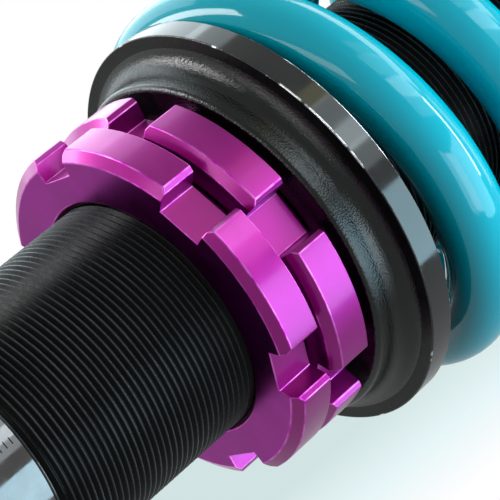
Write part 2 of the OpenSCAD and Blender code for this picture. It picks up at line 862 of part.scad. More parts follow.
// Needle that the knob turns inside the hollow rod, with a guide collar near its upper end
module adjuster_needle() {
    needle_r = needle_d / 2;
    collar_r = rod_bore_r - run_fit;
    collar_h = rod_top_d;
    collar_z = rod_end_z - collar_h - 8;
    end = knob_z + 5.8;
    color("silver") turned([
        [0, rod_tail_z + 2], [needle_r, rod_tail_z + 8], [needle_r, collar_z - 1],
        [collar_r, collar_z], [collar_r, collar_z + collar_h], [needle_r, collar_z + collar_h + 1],
        [needle_r, end], [0, end]
    ]);
}

lower_eye();
eye_bush();
bolt_sleeve();
gas_plug();
base_seal();
damper_tube();
threaded_sleeve();
lower_lock_ring();
upper_lock_ring();
spring_perch();
spring();
floating_piston();
floating_seal();
piston_rod();
piston();
piston_band();
compression_shims();
rebound_shims();
piston_nut();
backing_washer();
top_out_ring();
rod_guide();
guide_bush();
rod_seal();
gland_nut();
dust_wiper();
bump_stop();
dust_boot();
upper_seat();
lower_spacer();
pivot_ball();
upper_spacer();
top_nut();
ball_liner();
ball_race();
race_clip();
top_plate();
plate_studs();
adjuster_knob();
adjuster_needle();
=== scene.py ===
"""Looks of a coilover: a threaded damper with two lock rings, a spring perch, a coil spring and a
pivoting top plate with three studs. Shapes are drawn in millimetres and stored in metres."""

import math

import bmesh
import bpy
from mathutils import Matrix, Vector


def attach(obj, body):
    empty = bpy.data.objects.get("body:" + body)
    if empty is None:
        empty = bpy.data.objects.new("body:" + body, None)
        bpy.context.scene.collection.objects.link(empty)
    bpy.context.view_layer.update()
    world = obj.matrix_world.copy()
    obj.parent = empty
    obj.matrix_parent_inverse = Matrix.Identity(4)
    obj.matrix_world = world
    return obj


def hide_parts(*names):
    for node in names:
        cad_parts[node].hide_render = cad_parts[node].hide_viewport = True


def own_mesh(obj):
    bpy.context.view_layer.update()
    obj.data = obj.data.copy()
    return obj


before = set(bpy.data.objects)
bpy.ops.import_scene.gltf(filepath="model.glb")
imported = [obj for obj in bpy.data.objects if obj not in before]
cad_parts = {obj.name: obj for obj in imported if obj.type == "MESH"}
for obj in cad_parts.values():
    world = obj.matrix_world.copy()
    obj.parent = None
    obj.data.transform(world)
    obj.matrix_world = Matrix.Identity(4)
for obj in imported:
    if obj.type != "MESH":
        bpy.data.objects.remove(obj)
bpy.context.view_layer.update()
scene = bpy.context.scene

MM = 0.001
TURN = 2 * math.pi
Z = Vector((0, 0, 1))

# Sizes that the pieces share, in millimetres
TUBE_R, TUBE_LOW, TUBE_TOP, BORE_R = 25.0, 40.0, 278.0, 23.0
SLEEVE_LOW, SLEEVE_TOP = 94.4, 261.4
CREST_R, ROOT_R, PITCH = 27.0, 26.08, 1.5
RING_LOW, RING_PITCH, RING_T, BOSS_H = 144.0, 11.5, 9.3, 1.9
RING_R, LAND_R, FLOOR_R, RING_BORE = 39.4, 37.1, 33.9, 27.05
BOSS_R, BORE_CHAMFER, FRONT_CHAMFER = 32.0, 0.92, 1.6
SLOTS, SLOT_ANGLE = 6, math.radians(16.4)
RING_TURNS = {"lower_lock_ring": math.radians(13.2), "upper_lock_ring": math.radians(33.0)}
PERCH_LOW, FLANGE_LOW, SEAT_LOW = 167.0, 175.3, 181.2
HUB_R, FLANGE_R, SPIGOT_R = 40.3, 47.3, 34.8
HUB_FILLET, PERCH_BORE = 4.6, 27.1
WIRE_R, COIL_R, SPRING_LEN = 7.6, 42.8, 190.0
SHOULDER, BALL_Z, PLATE_LOW, PLATE_TOP = 371.5, 405.5, 401.5, 409.5
ROD_R, ROD_TOP_R, ROD_HOLE_R, ROD_END = 10.0, 7.0, 3.5, 437.5
CLAMPED_BORE = 7.02
STUD_CIRCLE, SCALLOP_R, SCALLOP_CIRCLE = 46, 40, 86
KNOB_LOW, KNOB_H = 437.8, 13.0

# Angle from which an edge is rounded, and places in a piece's list of coats
SHARP = math.radians(28)
EDGE_COAT, FACE_COAT = 1, 2
FLANGE_COAT, RIM_COAT, NICK_COAT = 1, 2, 3

# The tube's scale of ticks: height of its first and their spacing, in metres
TICKS_LOW, TICK_PITCH = 0.08985, 0.00143


# ---------------------------------------------------------------- shapes

def turned(outline, steps=128, sweep=TURN):
    """A surface of revolution round Z from [radius, height] pairs, closed where it misses the
    axis."""
    bm = bmesh.new()
    verts = [bm.verts.new((r, 0, z)) for r, z in outline]
    edges = [bm.edges.new(pair) for pair in zip(verts, verts[1:])]
    if all(r > 0 for r, z in outline):
        edges.append(bm.edges.new((verts[-1], verts[0])))
    bmesh.ops.spin(
        bm, geom=verts + edges, cent=(0, 0, 0), axis=Z, dvec=(0, 0, 0), angle=sweep,
        steps=steps, use_merge=sweep == TURN, use_normal_flip=False, use_duplicate=False)
    bmesh.ops.remove_doubles(bm, verts=bm.verts, dist=1e-4)
    if sweep != TURN:
        bmesh.ops.holes_fill(bm, edges=[e for e in bm.edges if e.is_boundary], sides=0)
    bmesh.ops.recalc_face_normals(bm, faces=bm.faces)
    return bm


def arc(cx, cz, r, start, end, steps):
    """Points on an arc, as [radius, height] pairs; angles in degrees from the radial direction."""
    angles = [math.radians(start + (end - start) * i / steps) for i in range(steps + 1)]
    return [(cx + r * math.cos(a), cz + r * math.sin(a)) for a in angles]


def prism(sides, r, low, high, turn=0.0):
    """An upright prism with that many sides."""
    bm = bmesh.new()
    bmesh.ops.create_circle(bm, cap_ends=True, segments=sides, radius=r)
    bmesh.ops.rotate(bm, cent=(0, 0, 0), matrix=Matrix.Rotation(turn, 3, "Z"), verts=bm.verts)
    bmesh.ops.translate(bm, vec=(0, 0, low), verts=bm.verts)
    walls = bmesh.ops.extrude_face_region(bm, geom=list(bm.faces))
    top = [v for v in walls["geom"] if isinstance(v, bmesh.types.BMVert)]
    bmesh.ops.translate(bm, vec=(0, 0, high - low), verts=top)
    bmesh.ops.recalc_face_normals(bm, faces=bm.faces)
    return bm


def placed(bm, move=(0, 0, 0), turn=0.0, axis="Z"):
    """The shape turned about an axis through the origin and then moved."""
    bmesh.ops.rotate(bm, cent=(0, 0, 0), matrix=Matrix.Rotation(turn, 3, axis), verts=bm.verts)
    bmesh.ops.translate(bm, vec=move, verts=bm.verts)
    return bm


def joined(*shapes):
    """Several shapes in one mesh."""
    whole = shapes[0]
    for shape in shapes[1:]:
        spare = bpy.data.meshes.new("spare")
        shape.to_mesh(spare)
        shape.free()
        whole.from_mesh(spare)
        bpy.data.meshes.remove(spare)
    return whole


def worked(bm, modifiers):
    """The shape after modifiers, each given as (type, settings); an object setting is a shape."""
    def loose(shape):
        mesh = bpy.data.meshes.new("blank")
        shape.to_mesh(mesh)
        shape.free()
        blank = bpy.data.objects.new("blank", mesh)
        scene.collection.objects.link(blank)
        return blank

    blanks = [loose(bm)]
    for kind, settings in modifiers:
        modifier = blanks[0].modifiers.new(kind, kind)
        for key, value in settings.items():
            if key == "object":
                blanks.append(loose(value))
                value = blanks[-1]
            setattr(modifier, key, value)
    graph = bpy.context.evaluated_depsgraph_get()
    result = bmesh.new()
    result.from_mesh(blanks[0].evaluated_get(graph).to_mesh())
    for blank in blanks:
        mesh = blank.data
        bpy.data.objects.remove(blank)
        bpy.data.meshes.remove(mesh)
    return result


def cut(bm, *tools):
    """The shape with each tool's shape taken away."""
    return worked(bm, [("BOOLEAN", dict(operation="DIFFERENCE", solver="EXACT", object=t))
                       for t in tools])


def threaded(root, crest, pitch, low, high, bore, steps):
    """A right-hand outer thread with chamfered ends, round a bore or, if bore is 0, solid."""
    profile = ((root, 0.0), (root, 0.3), (crest, 0.55), (crest, 0.76))
    end_depth = 0.15
    bm = bmesh.new()
    verts = []
    for i in range(math.ceil((high - low) / pitch) + 2):
        z = low + (i - 1) * pitch
        for r, share in profile:
            verts.append(bm.verts.new((r, 0, z + share * pitch)))
    edges = [bm.edges.new(pair) for pair in zip(verts, verts[1:])]
    bmesh.ops.spin(
        bm, geom=verts + edges, cent=(0, 0, 0), axis=Z, dvec=(0, 0, pitch / steps), angle=TURN,
        steps=steps, use_merge=False, use_normal_flip=False, use_duplicate=False)
    bmesh.ops.remove_doubles(bm, verts=bm.verts, dist=1e-3)
    for end, side in ((low, -1), (high, 1)):
        bmesh.ops.bisect_plane(
            bm, geom=bm.verts[:] + bm.edges[:] + bm.faces[:], dist=1e-4,
            plane_co=(0, 0, end), plane_no=(0, 0, side), clear_outer=True)
    for v in bm.verts:
        limit = root - end_depth + min(v.co.z - low, high - v.co.z)
        r = math.hypot(v.co.x, v.co.y)
        if r > limit:
            v.co.x, v.co.y = v.co.x * limit / r, v.co.y * limit / r
    inner = []
    for end in (low, high):
        rim = [e for e in bm.edges if e.is_boundary
               and all(abs(v.co.z - end) < 1e-3 for v in e.verts)]
        if not bore:
            bmesh.ops.edgeloop_fill(bm, edges=rim)
            continue
        grown = bmesh.ops.extrude_edge_only(bm, edges=rim)["geom"]
        for v in grown:
            if isinstance(v, bmesh.types.BMVert):
                share = bore / math.hypot(v.co.x, v.co.y)
                v.co.x, v.co.y = v.co.x * share, v.co.y * share
        inner += [e for e in grown if isinstance(e, bmesh.types.BMEdge)]
    if bore:
        bmesh.ops.bridge_loops(bm, edges=[e for e in inner if e.is_boundary])
    bmesh.ops.recalc_face_normals(bm, faces=bm.faces)
    return bm


def lock_ring(low, turn):
    """A castellated ring: six spanner slots with flat floors, a front chamfer and a rear boss."""
    slot_steps, tooth_steps = 4, 12
    steps = slot_steps + tooth_steps
    edge = slot_steps / steps
    bm = turned([
        (RING_BORE + BORE_CHAMFER, 0), (FLOOR_R, 0), (FLOOR_R, RING_T), (BOSS_R, RING_T),
        (31.6, RING_T + BOSS_H), (RING_BORE + BORE_CHAMFER, RING_T + BOSS_H),
        (RING_BORE, RING_T + BOSS_H - BORE_CHAMFER), (RING_BORE, BORE_CHAMFER)],
        steps=SLOTS * steps)
    sector = TURN / SLOTS
    for v in bm.verts:
        r, angle = math.hypot(v.co.x, v.co.y), math.atan2(v.co.y, v.co.x)
        centre = round(angle / sector) * sector
        share = (angle - centre) / (sector / 2)
        if abs(share) <= edge + 1e-4:
            local = share / edge * SLOT_ANGLE / 2
            r = r / math.cos(local) if r > FLOOR_R - 0.01 else r
        else:
            rest = (abs(share) - edge) / (1 - edge)
            local = math.copysign(SLOT_ANGLE / 2 + rest * (sector - SLOT_ANGLE) / 2, share)
        v.co.x, v.co.y = r * math.cos(centre + local), r * math.sin(centre + local)
    teeth = []
    for f in bm.faces:
        middle = f.calc_center_median()
        away = abs(math.remainder(math.atan2(middle.y, middle.x), sector))
        flat = abs(f.normal.z) < 0.3 and math.hypot(middle.x, middle.y) > FLOOR_R - 0.5
        if flat and 0 < middle.z < RING_T and away > SLOT_ANGLE / 2:
            teeth.append(f)
    for radius, front in ((LAND_R, 0.0), (RING_R, FRONT_CHAMFER)):
        grown = bmesh.ops.extrude_face_region(bm, geom=teeth)["geom"]
        bmesh.ops.delete(bm, geom=teeth, context="FACES")
        teeth = [f for f in grown if isinstance(f, bmesh.types.BMFace)]
        for v in {v for f in teeth for v in f.verts}:
            share = radius / math.hypot(v.co.x, v.co.y)
            v.co = Vector((v.co.x * share, v.co.y * share, front if v.co.z < 3 else v.co.z))
    bm.normal_update()
    corners = []
    for e in bm.edges:
        a, b = (math.hypot(v.co.x, v.co.y) for v in e.verts)
        upright = abs(e.verts[0].co.z - e.verts[1].co.z) > 3
        if upright and min(a, b) > RING_R - 0.1 and e.calc_face_angle(0) > 1:
            corners.append(e)
    bmesh.ops.bevel(
        bm, geom=corners, offset=1.0, offset_type="OFFSET", segments=1, profile=0.5,
        affect="EDGES", material=-1)
    bmesh.ops.recalc_face_normals(bm, faces=bm.faces)
    for f in bm.faces:
        if f.normal.z < -0.9:
            f.material_index = FACE_COAT
    return placed(bm, (0, 0, low), turn)


def coil_spring():
    """Round wire with a flat coil at each end, eased into the pitch, then ground flat."""
    steps, flat, active = 96, 0.36, 7.0
    total = active + 2 * flat
    ease, ground = 0.04, 2.0
    wire_low = WIRE_R - ground

    def height(turns):
        def ramp(t):
            return 0.5 * (t + math.sqrt(t * t + ease * ease))
        rise = ramp(turns - flat) - ramp(turns - flat - active)
        return wire_low + rise / active * (SPRING_LEN - 2 * wire_low)

    bm = bmesh.new()
    bmesh.ops.create_circle(bm, cap_ends=True, segments=32, radius=WIRE_R)
    bmesh.ops.rotate(bm, cent=(0, 0, 0), matrix=Matrix.Rotation(math.pi / 2, 3, "X"),
                     verts=bm.verts)
    bmesh.ops.translate(bm, vec=(COIL_R, 0, height(0)), verts=bm.verts)
    ring = bm.edges[:] + bm.verts[:]
    count = round(total * steps)
    for i in range(count):
        rise = height(total * (i + 1) / count) - height(total * i / count)
        ring = bmesh.ops.spin(
            bm, geom=ring, cent=(0, 0, 0), axis=Z, dvec=(0, 0, rise), angle=TURN * total / count,
            steps=1, use_merge=False, use_normal_flip=False, use_duplicate=False)["geom_last"]
    bmesh.ops.contextual_create(bm, geom=[e for e in ring if isinstance(e, bmesh.types.BMEdge)])
    for end, side in ((0.0, -1), (SPRING_LEN, 1)):
        level = bmesh.ops.bisect_plane(
            bm, geom=bm.verts[:] + bm.edges[:] + bm.faces[:], dist=1e-4,
            plane_co=(0, 0, end), plane_no=(0, 0, side), clear_outer=True)["geom_cut"]
        bmesh.ops.contextual_create(
            bm, geom=[e for e in level if isinstance(e, bmesh.types.BMEdge)])
    bmesh.ops.recalc_face_normals(bm, faces=bm.faces)
    return placed(bm, (0, 0, SEAT_LOW), math.radians(50))


# ---------------------------------------------------------------- finishes

class Finish:
    """A material under way: the shader's own values first, then nodes that feed it."""

    def __init__(self, name, colour, rough, metal=0.0, **sockets):
        self.material = bpy.data.materials.new(name)
        self.material.use_nodes = True
        self.tree = self.material.node_tree
        self.shader = self.tree.nodes["Principled BSDF"]
        self.set(self.shader, {
            "Base Color": (*colour, 1), "Roughness": rough, "Metallic": metal,
            **{key.replace("_", " "): value for key, value in sockets.items()}})
        self.places = self.add("ShaderNodeTexCoord").outputs["Object"]
        self.height = None

    def set(self, node, inputs):
        for key, value in inputs.items():
            if isinstance(value, bpy.types.NodeSocket):
                self.tree.links.new(value, node.inputs[key])
            else:
                node.inputs[key].default_value = value

    def add(self, kind, inputs=None, **settings):
        node = self.tree.nodes.new(kind)
        for key, value in settings.items():
            setattr(node, key, value)
        self.set(node, inputs or {})
        return node

    def noise(self, size, detail=3.0, stretch=(1, 1, 1)):
        """Cloudy noise whose blobs are about size millimetres across."""
        mapped = self.add("ShaderNodeMapping", {"Vector": self.places, "Scale": stretch})
        return self.add("ShaderNodeTexNoise", {
            "Vector": mapped.outputs["Vector"], "Scale": 0.6 / (size * MM), "Detail": detail,
            "Roughness": 0.55}).outputs["Fac"]

    def cells(self, size):
        """Distance to the nearest of many scattered points, size millimetres apart."""
        return self.add("ShaderNodeTexVoronoi", {
            "Vector": self.places, "Scale": 1 / (size * MM)}).outputs["Distance"]

    def ramp(self, factor, *stops):
        """Colours along a factor, each stop given as (place, colour)."""
        node = self.add("ShaderNodeValToRGB", {"Fac": factor})
        bar = node.color_ramp.elements
        while len(bar) < len(stops):
            bar.new(0.5)
        for element, (place, colour) in zip(bar, stops):
            element.position = place
            element.color = (*colour, 1)
        return node.outputs["Color"]

    def span(self, factor, low, high, to_low=0.0, to_high=1.0):
        """The factor stretched from one range to another, and held at its ends."""
        return self.add("ShaderNodeMapRange", {
            "Value": factor, "From Min": low, "From Max": high, "To Min": to_low,
            "To Max": to_high}).outputs["Result"]

    def calc(self, a, b, how="ADD"):
        """Two factors put together by one step of arithmetic."""
        return self.add("ShaderNodeMath", {0: a, 1: b}, operation=how).outputs["Value"]

    def radius(self):
        """Distance from the Z axis, in metres."""
        flat = self.add("ShaderNodeVectorMath", {0: self.places, 1: (1, 1, 0)},
                        operation="MULTIPLY").outputs["Vector"]
        return self.add("ShaderNodeVectorMath", {0: flat}, operation="LENGTH").outputs["Value"]

    def mixed(self, factor, a, b):
        """A blend of two colours, each a socket or a colour."""
        node = self.add("ShaderNodeMix", data_type="RGBA")
        self.tree.links.new(factor, node.inputs["Factor"])
        for key, value in (("A", a), ("B", b)):
            socket = [s for s in node.inputs if s.name == key and s.type == "RGBA"][0]
            if isinstance(value, bpy.types.NodeSocket):
                self.tree.links.new(value, socket)
            else:
                socket.default_value = (*value, 1)
        return [s for s in node.outputs if s.type == "RGBA"][0]

    def colour(self, source):
        self.set(self.shader, {"Base Color": source})
        return self

    def shine(self, factor, low, high):
        """Roughness that wanders between two values."""
        self.set(self.shader, {"Roughness": self.span(factor, 0.3, 0.7, low, high)})
        return self

    def relief(self, factor, depth, strength=1.0):
        """Bump of that depth in millimetres, on top of any before it."""
        inputs = {"Height": factor, "Strength": strength, "Distance": depth * MM}
        if self.height is not None:
            inputs["Normal"] = self.height
        self.height = self.add("ShaderNodeBump", inputs).outputs["Normal"]
        self.set(self.shader, {"Normal": self.height})
        return self


def black_thread():
    """Black oxide with paler crests, partly worn and partly a painted highlight, roots painted
    darker as shade, and a metal line where the end face meets the tube, in pale cyan as a painted
    highlight."""
    f = Finish("black_thread", (0.01, 0.01, 0.011), 0.3, IOR=1.38, Specular_IOR_Level=0.14)
    # Crests paler, partly worn and partly a painted highlight; roots painted darker as shade.
    crest = f.span(f.radius(), 0.0268, 0.027)
    rubbed_crest_and_sheen = f.calc(crest, f.span(f.noise(6, 4), 0.3, 0.65, 0.4, 1.0), "MULTIPLY")
    # The end-face line is metal tinted pale cyan as a painted highlight.
    bare_edge_and_highlight = f.span(f.radius(), 0.02545, 0.02535)
    f.colour(f.mixed(bare_edge_and_highlight, f.mixed(rubbed_crest_and_sheen, (0.0008, 0.0008, 0.0009), (0.036, 0.04, 0.041)),
                     (0.7, 0.82, 0.85)))
    f.set(f.shader, {"Metallic": bare_edge_and_highlight})
    return f.shine(f.noise(1.2), 0.22, 0.34).relief(f.noise(0.25, 2), 0.02, 0.5).material


def purple_anodised():
    """Dyed anodised aluminium, fine-blasted, so that it scatters light softly."""
    f = Finish("purple_anodised", (0.31, 0.002, 0.2), 0.34, metal=0.8, Coat_Weight=0.45,
               Coat_Roughness=0.14)
    f.colour(f.ramp(f.noise(9, 3), (0.3, (0.3, 0.002, 0.195)), (0.72, (0.335, 0.003, 0.215))))
    return f.shine(f.noise(2.5), 0.3, 0.38).relief(f.noise(0.16, 2), 0.012, 0.6).material


def purple_face():
    """The rings' turned front faces: dyed as the rest, but smoother, so that they mirror what
    stands in front of them."""
    f = Finish("purple_turned_face", (0.26, 0.002, 0.22), 0.3, metal=1.0)
    f.colour(f.ramp(f.noise(9, 3), (0.3, (0.24, 0.002, 0.2)), (0.72, (0.28, 0.003, 0.24))))
    return f.shine(f.noise(2.5), 0.26, 0.34).relief(f.noise(0.3, 2), 0.012, 0.5).material


def purple_worn_edge_sheen():
    """Edges of the dyed rings, paler than the faces: partly worn dye, partly a painted highlight.
    """
    # Paler edge colour: partly worn dye, partly a painted highlight along the edges.
    f = Finish("purple_worn_edge_sheen", (0.55, 0.06, 0.46), 0.28, metal=1.0)
    f.colour(f.ramp(f.noise(2.0, 4), (0.35, (0.45, 0.015, 0.38)), (0.65, (0.68, 0.16, 0.58))))
    return f.relief(f.noise(0.4), 0.03, 0.5).material


def black_cast(name, rough, grain, depth, colour=0.012, ior=1.6):
    """Black anodised skin over a blasted casting."""
    f = Finish(name, (colour,) * 3, rough, metal=0.0, IOR=ior)
    f.colour(f.ramp(f.noise(5), (0.3, (colour * 0.7,) * 3),
                    (0.7, (colour * 1.2, colour * 1.25, colour * 1.25))))
    f.shine(f.noise(1.5), rough - 0.05, rough + 0.06)
    return f.relief(f.cells(grain), depth, 0.9).material


def polished_rim():
    """The perch's machined rim: glossy black with faint turning marks round it."""
    f = Finish("perch_rim", (0.004, 0.004, 0.005), 0.1, IOR=1.6)
    lines = f.noise(1.0, 2, stretch=(0.02, 0.02, 4))
    f.colour(f.ramp(f.noise(7), (0.3, (0.004, 0.004, 0.005)), (0.75, (0.01, 0.0095, 0.009))))
    return f.shine(f.noise(3), 0.07, 0.14).relief(lines, 0.004, 0.35).material


def nicked_edge():
    """Bare metal where the rim's front edge has been knocked, black between the nicks."""
    f = Finish("perch_nicked_edge", (0.5, 0.52, 0.53), 0.25, metal=1.0)
    apart = f.add("ShaderNodeSeparateXYZ", {"Vector": f.places}).outputs
    front = f.calc(f.span(apart["X"], -0.026, -0.016), f.span(apart["X"], 0.004, 0.012, 1.0, 0.0),
                  "MULTIPLY")
    knocked = f.calc(front, f.span(apart["Y"], -0.02, -0.03), "MULTIPLY")
    limit = f.span(knocked, 0.0, 1.0, 0.66, 0.47)
    worn = f.span(f.calc(f.noise(3.0, 5), limit, "SUBTRACT"), -0.04, 0.04)
    f.colour(f.mixed(worn, (0.008, 0.008, 0.009), (0.85, 0.88, 0.9)))
    f.set(f.shader, {"Metallic": worn})
    return f.relief(f.noise(0.9, 4), 0.25, 0.8).material


def teal_powder():
    """Gloss powder coat with a slight orange peel."""
    f = Finish("teal_powder_coat", (0.0, 0.42, 0.53), 0.07, IOR=1.45)
    f.colour(f.ramp(f.noise(30, 2), (0.3, (0.0, 0.405, 0.515)), (0.7, (0.0, 0.435, 0.55))))
    return f.shine(f.noise(4), 0.06, 0.09).relief(f.noise(1.6, 1), 0.02, 0.2).material


def plated(name, colour, low, high, lines=0.006):
    """Plated or ground metal with marks that run round the axis."""
    f = Finish(name, colour, low, metal=1.0)
    f.colour(f.ramp(f.noise(12), (0.3, tuple(c * 0.9 for c in colour)), (0.7, colour)))
    marks = f.noise(1.2, 3, stretch=(0.03, 0.03, 5))
    return f.shine(f.noise(5), low, high).relief(marks, lines, 0.5).material


def plated_tube():
    """Dark bright plating, slightly wavy and clouded, with a short scale of ticks."""
    f = Finish("plated_tube", (0.135, 0.128, 0.13), 0.08, metal=1.0)
    clouds = f.ramp(f.noise(3.5, 5), (0.3, (0.12, 0.112, 0.113)), (0.7, (0.15, 0.142, 0.143)))
    x, y, z = f.add("ShaderNodeSeparateXYZ", {"Vector": f.places}).outputs
    front = f.calc(f.span(x, -0.00035, -0.00025), f.span(x, 0.0012, 0.0013, 1.0, 0.0), "MULTIPLY")
    reach = f.calc(f.span(z, 0.0893, 0.0894), f.span(y, -0.02, -0.021), "MULTIPLY")
    step = f.calc(f.calc(z, TICKS_LOW, "SUBTRACT"), 1 / TICK_PITCH, "MULTIPLY")
    step = f.calc(step, 0.5)
    off = f.calc(f.calc(f.calc(step, 0.0, "FRACT"), 0.5, "SUBTRACT"), 0.0, "ABSOLUTE")
    tick = f.calc(f.calc(front, reach, "MULTIPLY"), f.span(off, 0.11, 0.07), "MULTIPLY")
    f.colour(f.mixed(tick, clouds, (0.012, 0.012, 0.014)))
    return f.shine(f.noise(1.5, 4), 0.05, 0.13).relief(f.noise(7, 2), 0.05, 0.5).relief(
        f.noise(0.8, 4), 0.004, 0.5).material


def painted(name, colour, rough, peel=0.03):
    """Satin paint with a fine texture."""
    f = Finish(name, colour, rough)
    f.colour(f.ramp(f.noise(10), (0.3, tuple(c * 0.85 for c in colour)),
                    (0.7, tuple(c * 1.1 for c in colour))))
    return f.shine(f.noise(3), rough - 0.06, rough + 0.06).relief(f.noise(0.7), peel, 0.6).material


def moulded(name, colour, rough, grain=0.5, depth=0.03):
    """Rubber or plastic from a mould, with a fine grain and a chalky bloom."""
    f = Finish(name, colour, rough)
    bloom = tuple(min(1, c * 1.25 + 0.004) for c in colour)
    f.colour(f.ramp(f.noise(8, 5), (0.35, colour), (0.75, bloom)))
    return f.shine(f.noise(2), rough - 0.08, rough + 0.08).relief(
        f.noise(grain, 4), depth, 0.7).material


def foam(name, colour):
    """Closed-cell foam with open pores, painted darker inside as their shade."""
    f = Finish(name, colour, 0.8)
    # Pores painted darker as the shade inside them.
    f.colour(f.ramp(f.cells(1.2), (0.05, tuple(c * 0.6 for c in colour)), (0.4, colour)))
    return f.relief(f.cells(1.2), 0.3, 0.6).relief(f.noise(0.4), 0.06).material


BLACK_THREAD = black_thread()
PURPLE = purple_anodised()
PURPLE_WORN_EDGE_SHEEN = purple_worn_edge_sheen()
PURPLE_FACE = purple_face()
PERCH_HUB = black_cast("perch_hub", 0.2, 0.4, 0.06, 0.0012, 1.45)
PERCH_FLANGE = black_cast("perch_flange", 0.3, 0.8, 0.02, 0.002, 1.25)
PERCH_RIM = polished_rim()
NICKED = nicked_edge()
TEAL = teal_powder()
PLATED_TUBE = plated_tube()
BRIGHT = plated("bright_steel", (0.62, 0.63, 0.65), 0.24, 0.34, 0.012)
CHROME = plated("chromed_rod", (0.8, 0.81, 0.83), 0.05, 0.09, 0.002)
ZINC = plated("yellow_zinc", (0.62, 0.47, 0.2), 0.25, 0.38)
BLACK_OXIDE = plated("black_oxide", (0.045, 0.045, 0.05), 0.3, 0.42)
ALUMINIUM = plated("machined_aluminium", (0.7, 0.7, 0.71), 0.22, 0.32, 0.01)
BRONZE = plated("bronze", (0.55, 0.36, 0.16), 0.28, 0.4)
SATIN_BLACK = painted("satin_black", (0.03, 0.03, 0.033), 0.42)
FORGED = painted("forged_black", (0.028, 0.028, 0.031), 0.48, 0.12)
RUBBER = moulded("rubber", (0.02, 0.02, 0.021), 0.62)
SLIDE_PLASTIC = moulded("bronze_filled_plastic", (0.2, 0.11, 0.06), 0.45)
PALE_PLASTIC = moulded("pale_plastic", (0.75, 0.73, 0.66), 0.4)
FOAM = foam("cream_foam", (0.72, 0.6, 0.32))
LINER = moulded("woven_liner", (0.8, 0.8, 0.76), 0.6, grain=0.8, depth=0.08)


# ---------------------------------------------------------------- pieces

def piece(name, bm, body, coats, nodes=None, edge=0.25, edge_coat=-1, segments=2):
    """One finished piece: smooth-shaded, with small rounded edges, riding on its body."""
    bmesh.ops.scale(bm, vec=(MM, MM, MM), verts=bm.verts)
    mesh = bpy.data.meshes.new(name)
    bm.to_mesh(mesh)
    bm.free()
    mesh.polygons.foreach_set("use_smooth", [True] * len(mesh.polygons))
    obj = bpy.data.objects.new(name, mesh)
    scene.collection.objects.link(obj)
    for coat in coats:
        mesh.materials.append(coat)
    if edge:
        bevel = obj.modifiers.new("edges", "BEVEL")
        bevel.width = edge * MM
        bevel.segments = segments
        bevel.limit_method = "ANGLE"
        bevel.angle_limit = SHARP
        bevel.harden_normals = True
        bevel.material = edge_coat
    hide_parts(*(nodes or [name]))
    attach(obj, body)
    return obj


# Damper body
piece("damper_tube_plated", turned([
    (BORE_R, TUBE_LOW), (TUBE_R, TUBE_LOW), (TUBE_R, TUBE_TOP), (BORE_R, TUBE_TOP)], 160),
    "damper", [PLATED_TUBE], ["damper_tube"], 0.5)
piece("threaded_sleeve_cut", threaded(ROOT_R, CREST_R, PITCH, SLEEVE_LOW, SLEEVE_TOP,
                                      TUBE_R + 0.02, 96),
      "damper", [BLACK_THREAD], ["threaded_sleeve"], edge=0)

# Lock rings
for node, turn in RING_TURNS.items():
    low = RING_LOW + (RING_PITCH if node.startswith("upper") else 0)
    piece(node + "_milled", lock_ring(low, turn), node.replace("_lock_ring", "_ring"),
          [PURPLE, PURPLE_WORN_EDGE_SHEEN, PURPLE_FACE], [node], 0.22, EDGE_COAT)

# Spring perch: hub, concave fillet, matt flange front, glossy rim
perch = turned([
    (PERCH_BORE, PERCH_LOW + 0.6), (27.7, PERCH_LOW),
    *arc(HUB_R - 1.3, PERCH_LOW + 1.3, 1.3, -90, 0, 6),
    *arc(HUB_R + HUB_FILLET, FLANGE_LOW - HUB_FILLET, HUB_FILLET, 180, 90, 14),
    (FLANGE_R, FLANGE_LOW), (FLANGE_R, SEAT_LOW), (SPIGOT_R, SEAT_LOW), (SPIGOT_R, SEAT_LOW + 6),
    (SPIGOT_R - 1.6, SEAT_LOW + 8), (27.7, SEAT_LOW + 8), (PERCH_BORE, SEAT_LOW + 7.4)], 192)
for f in perch.faces:
    middle = f.calc_center_median()
    r = math.hypot(middle.x, middle.y)
    if r > FLANGE_R - 0.1:
        f.material_index = RIM_COAT
    elif r > HUB_R + 4 and middle.z < FLANGE_LOW + 0.1:
        f.material_index = FLANGE_COAT
piece("spring_perch_turned", perch, "perch", [PERCH_HUB, PERCH_FLANGE, PERCH_RIM, NICKED],
      ["spring_perch"], 0.3, NICK_COAT)

spring = piece("coil_spring", coil_spring(), "perch", [TEAL], ["spring"], 0.5)
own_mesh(spring)

# Lower eye: a forged loop whose neck flares into the machined foot, with a spigot and a seal groove
loop = placed(turned([(0, -18), (21.8, -18), (23, -16.8), (23, 16.8), (21.8, 18), (0, 18)], 96),
              turn=math.pi / 2, axis="X")
neck = turned([(0, 4), (15, 4), (15, 18), *arc(25, 18, 10, 180, 112, 8), (21.3, 33), (0, 33)], 96)
foot = turned([(0, 28.2), (24, 28.2), (25, 29.2), (25, 39.98), (22.98, 39.98), (22.98, 44),
               (20.78, 44), (20.78, 46.6), (22.98, 46.6), (22.98, 49), (22, 50), (0, 50)], 128)
forging = worked(loop, [
    ("BOOLEAN", dict(operation="UNION", solver="EXACT", object=neck)),
    ("REMESH", dict(mode="VOXEL", voxel_size=0.75)),
    ("SMOOTH", dict(factor=0.6, iterations=12)),
    ("BOOLEAN", dict(operation="UNION", solver="EXACT", object=foot))])
piece("lower_eye_forged",
      cut(forging, placed(prism(128, 18, -30, 30), turn=math.pi / 2, axis="X"),
          placed(prism(64, 4, 0, 30), (0, 0, 34), math.pi / 2, "Y")),
      "damper", [FORGED], ["lower_eye"], 0.3)
